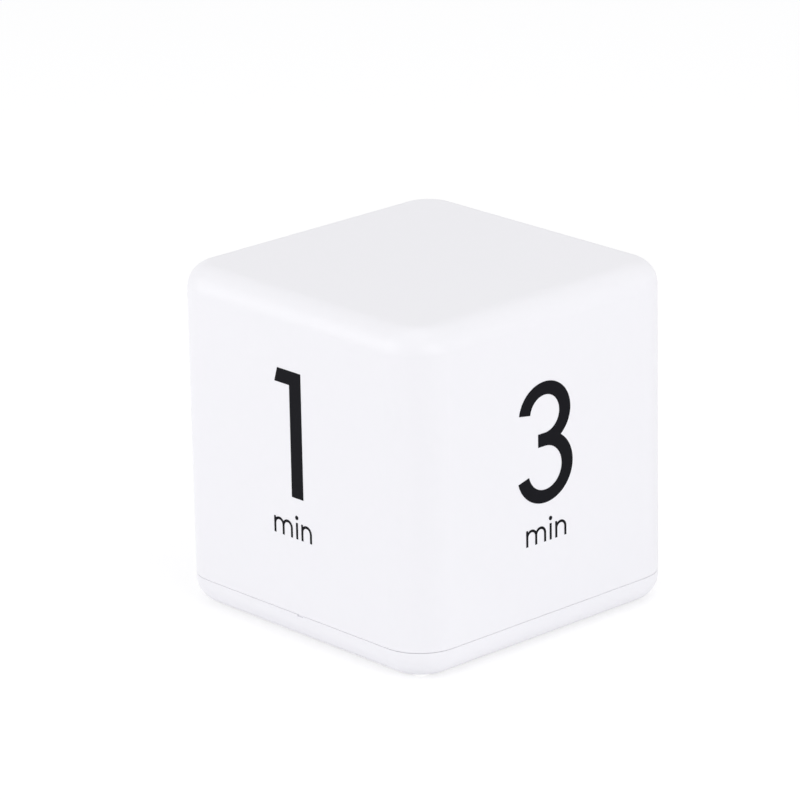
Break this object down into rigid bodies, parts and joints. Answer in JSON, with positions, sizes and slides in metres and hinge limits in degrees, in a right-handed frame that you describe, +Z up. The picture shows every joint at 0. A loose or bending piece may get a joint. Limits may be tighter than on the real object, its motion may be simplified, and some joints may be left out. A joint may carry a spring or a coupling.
{
  "type": "cube timer",
  "caption": "Rounded plastic cube timer with a printed minute numeral on each side; turning a numeral upwards starts its countdown. Display, switch and battery door are in the base.",
  "frame": {"origin": "centre of the flat base, in the plane that it stands on", "axes": "+Z up through the blank top; -Y towards the numeral 1 face; +X towards the numeral 3 face"},
  "size_m": [0.0672, 0.0672, 0.067],
  "materials": {
    "white_plastic": "satin moulded white with a faint cool tint",
    "print_ink": "pad-printed near-black ink",
    "knob_plastic": "satin black",
    "clear_plastic": "clear polished acrylic",
    "display_glass": "grey-green display glass",
    "reflector_film": "grey-green reflective film",
    "strip_rubber": "matt conductive rubber",
    "board_green": "green solder mask",
    "steel": "nickel-plated steel",
    "brass": "bare brass",
    "ceramic": "silvered ceramic",
    "epoxy": "black epoxy",
    "capacitor_sleeve": "dark blue sleeve",
    "cell_sleeve": "plain green printed foil sleeve",
    "red_sheath": "red lead sheath",
    "black_sheath": "black sheath"
  },
  "bodies": {
    "housing": {"main_shell": "white_plastic", "bottom_cover": "white_plastic", "cover_screw_1": "steel", "cover_screw_2": "steel", "cover_screw_3": "steel", "cover_screw_4": "steel", "battery_cell_1": "cell_sleeve", "battery_cell_2": "cell_sleeve", "contact_positive": "steel", "contact_negative": "steel", "contact_bridge": "steel", "spring_bridge": "steel", "spring_negative": "steel", "display_frame": "white_plastic", "display_lens": "clear_plastic", "display_front_glass": "display_glass", "display_rear_glass": "display_glass", "display_reflector": "reflector_film", "contact_strip_1": "strip_rubber", "contact_strip_2": "strip_rubber", "switch_body": "steel", "main_board": "board_green", "board_screw_1": "steel", "board_screw_2": "steel", "board_screw_3": "steel", "board_screw_4": "steel", "timer_chip": "epoxy", "crystal": "steel", "capacitor": "capacitor_sleeve", "resistor_1": "epoxy", "resistor_2": "epoxy", "tilt_can_1": "steel", "tilt_can_2": "steel", "tilt_can_3": "steel", "tilt_can_4": "steel", "tilt_base_1": "black_sheath", "tilt_base_2": "black_sheath", "tilt_base_3": "black_sheath", "tilt_base_4": "black_sheath", "buzzer_disc": "brass", "buzzer_ceramic": "ceramic", "battery_lead_red": "red_sheath", "battery_lead_black": "black_sheath", "buzzer_lead_red": "red_sheath", "buzzer_lead_black": "black_sheath", "numeral_1": "print_ink", "numeral_3": "print_ink", "numeral_5": "print_ink", "numeral_10_one": "print_ink", "numeral_10_zero": "print_ink"},
    "battery_door": {"battery_door": "white_plastic"},
    "power_switch": {"switch_knob": "knob_plastic", "switch_lever": "knob_plastic"},
    "tilt_ball_1": {"tilt_ball_1": "brass"},
    "tilt_ball_2": {"tilt_ball_2": "brass"},
    "tilt_ball_3": {"tilt_ball_3": "brass"},
    "tilt_ball_4": {"tilt_ball_4": "brass"}
  },
  "joints": [
    {"name": "battery_door_hinge", "type": "hinge", "parent": "housing", "child": "battery_door", "pos_m": [0, 0, 0.0003], "axis": [1, 0, 0], "range_deg": [0, 60]},
    {"name": "power_switch_slide", "type": "slide", "parent": "housing", "child": "power_switch", "axis": [1, 0, 0], "range_m": [0, 0.002]},
    {"name": "tilt_ball_1_roll", "type": "slide", "parent": "housing", "child": "tilt_ball_1", "axis": [0, -1, 0], "range_m": [-0.0013, 0.0013]},
    {"name": "tilt_ball_2_roll", "type": "slide", "parent": "housing", "child": "tilt_ball_2", "axis": [1, 0, 0], "range_m": [-0.0013, 0.0013]},
    {"name": "tilt_ball_3_roll", "type": "slide", "parent": "housing", "child": "tilt_ball_3", "axis": [0, 1, 0], "range_m": [-0.0013, 0.0013]},
    {"name": "tilt_ball_4_roll", "type": "slide", "parent": "housing", "child": "tilt_ball_4", "axis": [-1, 0, 0], "range_m": [-0.0013, 0.0013]}
  ]
}
